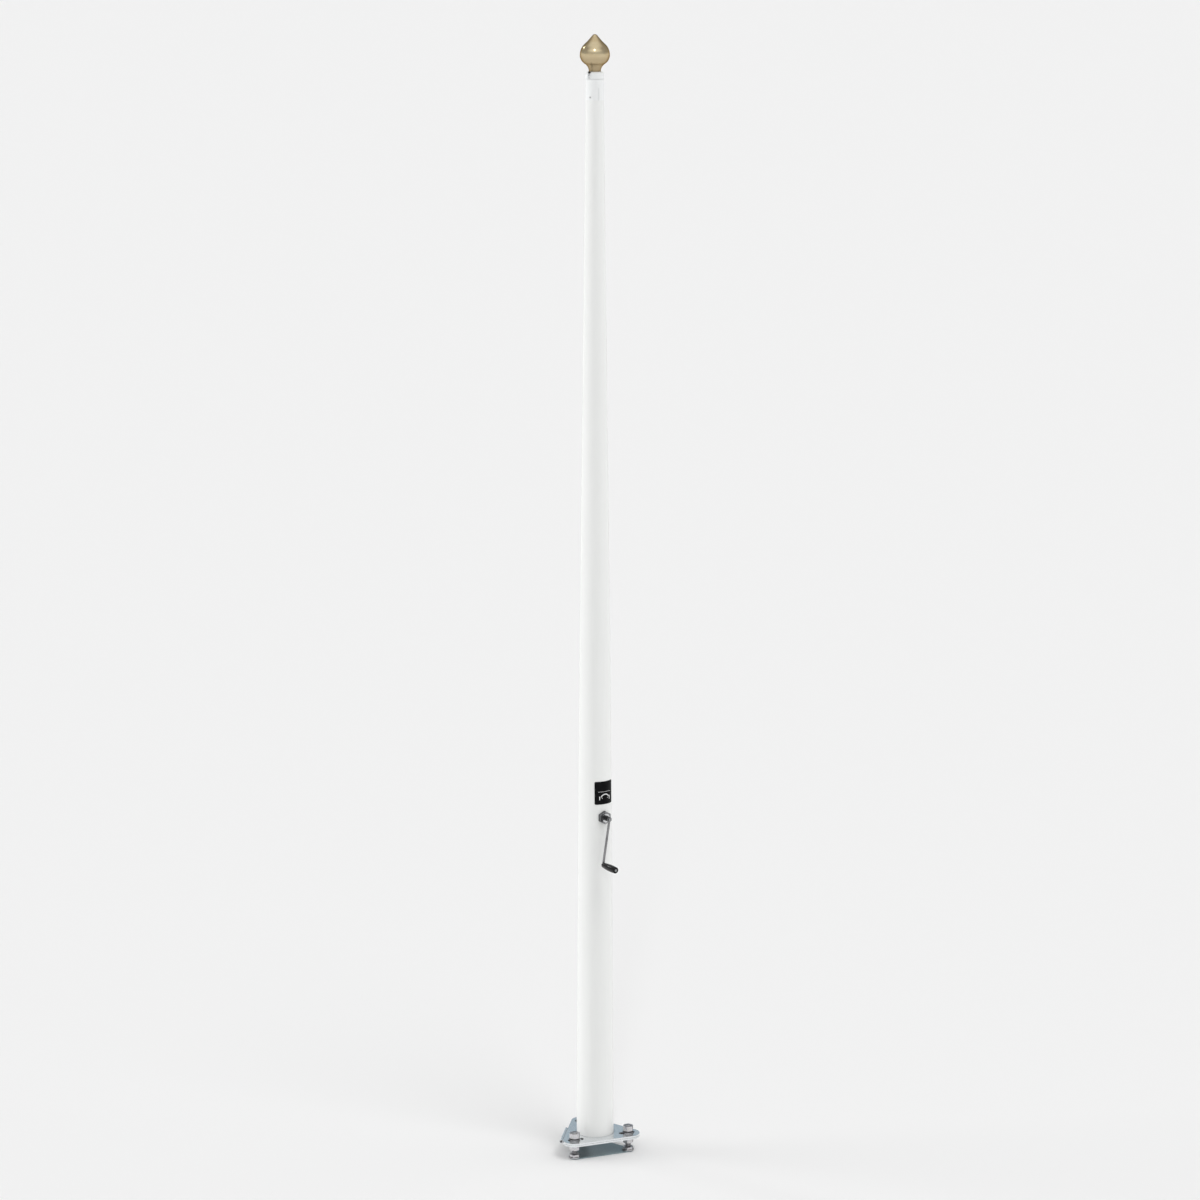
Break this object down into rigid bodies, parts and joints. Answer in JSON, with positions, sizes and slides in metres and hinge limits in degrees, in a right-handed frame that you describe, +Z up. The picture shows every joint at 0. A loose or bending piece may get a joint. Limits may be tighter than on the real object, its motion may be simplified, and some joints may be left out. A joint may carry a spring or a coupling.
{
  "type": "flagpole",
  "caption": "Tapered white flagpole with a gold onion finial, crank winch, revolving truck and a slotted triangular base on levelling studs.",
  "frame": {"origin": "middle of the ground plate's underside, on the mast's axis at ground level", "axes": "+Z up along the mast, -Y the side that the winch crank faces, +X to the right when facing the crank"},
  "size_m": [0.3534, 0.4115, 4.823],
  "materials": {
    "white_fibreglass": "smooth white gel coat, satin gloss",
    "white_nylon": "moulded white nylon, satin",
    "black_label": "printed vinyl sheet, satin",
    "black_plastic": "moulded black plastic, gloss",
    "black_rubber": "smooth rubber",
    "galvanised_steel": "hot-dip galvanised, faint spangle",
    "zinc_steel": "bright zinc plate",
    "dark_steel": "dark oiled spring steel",
    "polished_steel": "polished steel",
    "gold": "spun aluminium, gold anodised and polished"
  },
  "bodies": {
    "pole": {"ground_plate": "galvanised_steel", "hinge_plate": "galvanised_steel", "hinge_pin": "zinc_steel", "base_flange": "galvanised_steel", "spigot_tube": "galvanised_steel", "mast": "white_fibreglass", "instruction_label": "black_label", "winch_housing": "polished_steel", "crank_bearing": "polished_steel", "head_sleeve": "white_nylon", "sleeve_screw": "zinc_steel", "anchor_stud_left": "zinc_steel", "low_nut_left": "zinc_steel", "levelling_nut_left": "zinc_steel", "levelling_washer_left": "zinc_steel", "clamp_washer_left": "zinc_steel", "spring_washer_left": "dark_steel", "clamp_nut_left": "zinc_steel", "anchor_stud_right": "zinc_steel", "low_nut_right": "zinc_steel", "levelling_nut_right": "zinc_steel", "levelling_washer_right": "zinc_steel", "clamp_washer_right": "zinc_steel", "spring_washer_right": "dark_steel", "clamp_nut_right": "zinc_steel", "anchor_stud_rear": "zinc_steel", "low_nut_rear": "zinc_steel", "levelling_nut_rear": "zinc_steel", "levelling_washer_rear": "zinc_steel", "clamp_washer_rear": "zinc_steel", "spring_washer_rear": "dark_steel", "clamp_nut_rear": "zinc_steel"},
    "truck": {"truck_cap": "white_nylon", "halyard_stopper": "black_rubber", "halyard_eye": "polished_steel", "snap_link": "polished_steel", "finial_stud": "zinc_steel", "finial": "gold"},
    "crank": {"crank_shaft": "polished_steel", "crank_hub": "black_plastic", "crank_arm": "polished_steel", "grip_pin": "polished_steel", "grip_end_cap": "polished_steel"},
    "grip": {"handle_grip": "black_plastic"}
  },
  "joints": [
    {"name": "crank_turn", "type": "hinge", "parent": "pole", "child": "crank", "pos_m": [0, -0.1, 1.517], "axis": [0, -1, 0], "continuous": true},
    {"name": "grip_spin", "type": "hinge", "parent": "crank", "child": "grip", "pos_m": [-0.03182, -0.17, 1.32056], "axis": [0, -1, 0], "continuous": true},
    {"name": "truck_swivel", "type": "hinge", "parent": "pole", "child": "truck", "pos_m": [0, 0, 4.642], "axis": [0, 0, 1], "continuous": true}
  ]
}
